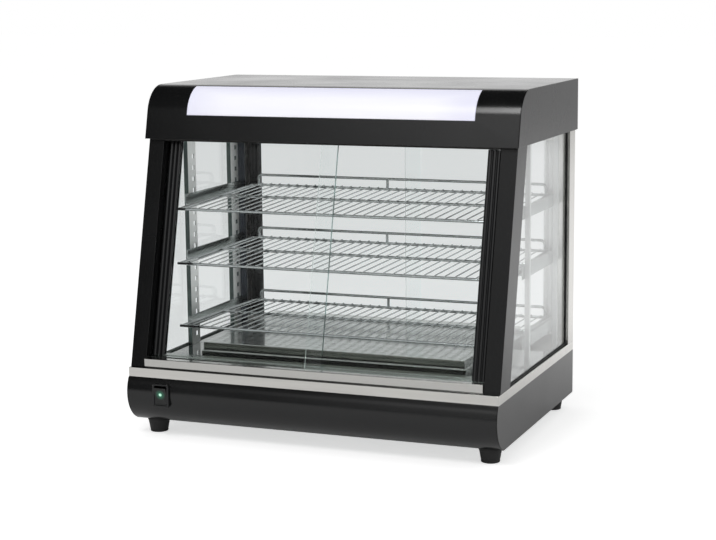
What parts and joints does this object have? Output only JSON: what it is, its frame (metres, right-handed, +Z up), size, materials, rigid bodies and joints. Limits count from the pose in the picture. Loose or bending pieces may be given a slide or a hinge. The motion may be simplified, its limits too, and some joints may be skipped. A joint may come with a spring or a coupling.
{
  "type": "heated display case",
  "caption": "Countertop heated display case with sliding glass doors at front and back, glass sides, wire shelves, a lit curved canopy and a curved base with a rocker switch.",
  "frame": {"origin": "on the counter, under the middle of the case's bounding box", "axes": "+X to the right as seen from the front, +Y to the back, +Z up"},
  "size_m": [0.668, 0.4934, 0.594],
  "materials": {
    "black_paint": "satin black powder coat",
    "stainless": "brushed stainless steel",
    "track_aluminium": "satin anodised aluminium",
    "zinc_steel": "bright zinc-plated steel",
    "chrome_wire": "chrome-plated wire",
    "clear_glass": "clear tempered glass with polished edges",
    "black_plastic": "fine-grained black plastic",
    "black_rubber": "matt black rubber",
    "light_diffuser": "white translucent acrylic",
    "green_lens": "translucent green plastic",
    "pale_plastic": "cream moulded plastic",
    "element_steel": "dull heat-tinted steel",
    "copper_tube": "bare copper",
    "screw_steel": "plated steel",
    "lead_sleeve": "woven heat-proof sleeve",
    "circuit_board": "white solder mask"
  },
  "bodies": {
    "case": {"base_back_panel": "black_paint", "base_fascia": "black_paint", "base_pan": "zinc_steel", "base_screws": "screw_steel", "base_side_left": "black_paint", "base_side_right": "black_paint", "canopy_back": "black_paint", "canopy_ceiling": "stainless", "canopy_end_left": "black_paint", "canopy_end_right": "black_paint", "canopy_screws": "screw_steel", "canopy_shell": "black_paint", "cord_gland": "black_plastic", "deck": "stainless", "element_clips": "zinc_steel", "feet": "black_rubber", "foot_bolts": "screw_steel", "front_head_track": "track_aluminium", "front_pillar_left": "black_paint", "front_pillar_right": "black_paint", "front_sill_track": "track_aluminium", "heater_cover": "stainless", "heating_element": "element_steel", "internal_leads": "lead_sleeve", "lamp_board": "circuit_board", "lamp_bracket": "zinc_steel", "light_panel": "light_diffuser", "rear_head_track": "track_aluminium", "rear_post_left": "stainless", "rear_post_right": "stainless", "rear_sill_track": "track_aluminium", "shelf_brackets_bottom": "zinc_steel", "shelf_brackets_middle": "zinc_steel", "shelf_brackets_top": "zinc_steel", "shelf_upright_front_left": "zinc_steel", "shelf_upright_front_right": "zinc_steel", "shelf_upright_rear_left": "zinc_steel", "shelf_upright_rear_right": "zinc_steel", "side_gasket_left": "black_rubber", "side_gasket_right": "black_rubber", "side_glass_left": "clear_glass", "side_glass_right": "clear_glass", "switch_body": "black_plastic", "terminal_block": "pale_plastic", "thermostat_body": "pale_plastic", "thermostat_bulb": "copper_tube"},
    "front_door_left": {"front_door_glass_left": "clear_glass", "front_door_edge_left": "black_plastic"},
    "front_door_right": {"front_door_glass_right": "clear_glass", "front_door_edge_right": "black_plastic"},
    "rear_door_left": {"rear_door_glass_left": "clear_glass", "rear_door_edge_left": "black_plastic"},
    "rear_door_right": {"rear_door_glass_right": "clear_glass", "rear_door_edge_right": "track_aluminium"},
    "shelf_top_body": {"shelf_top": "chrome_wire"},
    "shelf_middle_body": {"shelf_middle": "chrome_wire"},
    "shelf_bottom_body": {"shelf_bottom": "chrome_wire"},
    "rocker": {"switch_rocker": "black_plastic", "switch_lens": "green_lens"},
    "knob": {"thermostat_knob": "black_plastic"}
  },
  "joints": [
    {"name": "front_door_left_slide", "type": "slide", "parent": "case", "child": "front_door_left", "axis": [1, 0, 0], "range_m": [0, 0.288]},
    {"name": "front_door_right_slide", "type": "slide", "parent": "case", "child": "front_door_right", "axis": [1, 0, 0], "range_m": [-0.288, 0]},
    {"name": "rear_door_left_slide", "type": "slide", "parent": "case", "child": "rear_door_left", "axis": [1, 0, 0], "range_m": [0, 0.255]},
    {"name": "rear_door_right_slide", "type": "slide", "parent": "case", "child": "rear_door_right", "axis": [1, 0, 0], "range_m": [-0.319, 0]},
    {"name": "shelf_top_lift", "type": "slide", "parent": "case", "child": "shelf_top_body", "axis": [0, 0, 1], "range_m": [0, 0.012]},
    {"name": "shelf_middle_lift", "type": "slide", "parent": "case", "child": "shelf_middle_body", "axis": [0, 0, 1], "range_m": [0, 0.012]},
    {"name": "shelf_bottom_lift", "type": "slide", "parent": "case", "child": "shelf_bottom_body", "axis": [0, 0, 1], "range_m": [0, 0.012]},
    {"name": "rocker_tilt", "type": "hinge", "parent": "case", "child": "rocker", "pos_m": [-0.264, -0.23585, 0.078], "axis": [1, 0, 0], "range_deg": [-16, 0]},
    {"name": "knob_turn", "type": "hinge", "parent": "case", "child": "knob", "pos_m": [0.2, 0.22715, 0.066], "axis": [0, -1, 0], "range_deg": [0, 270]}
  ]
}
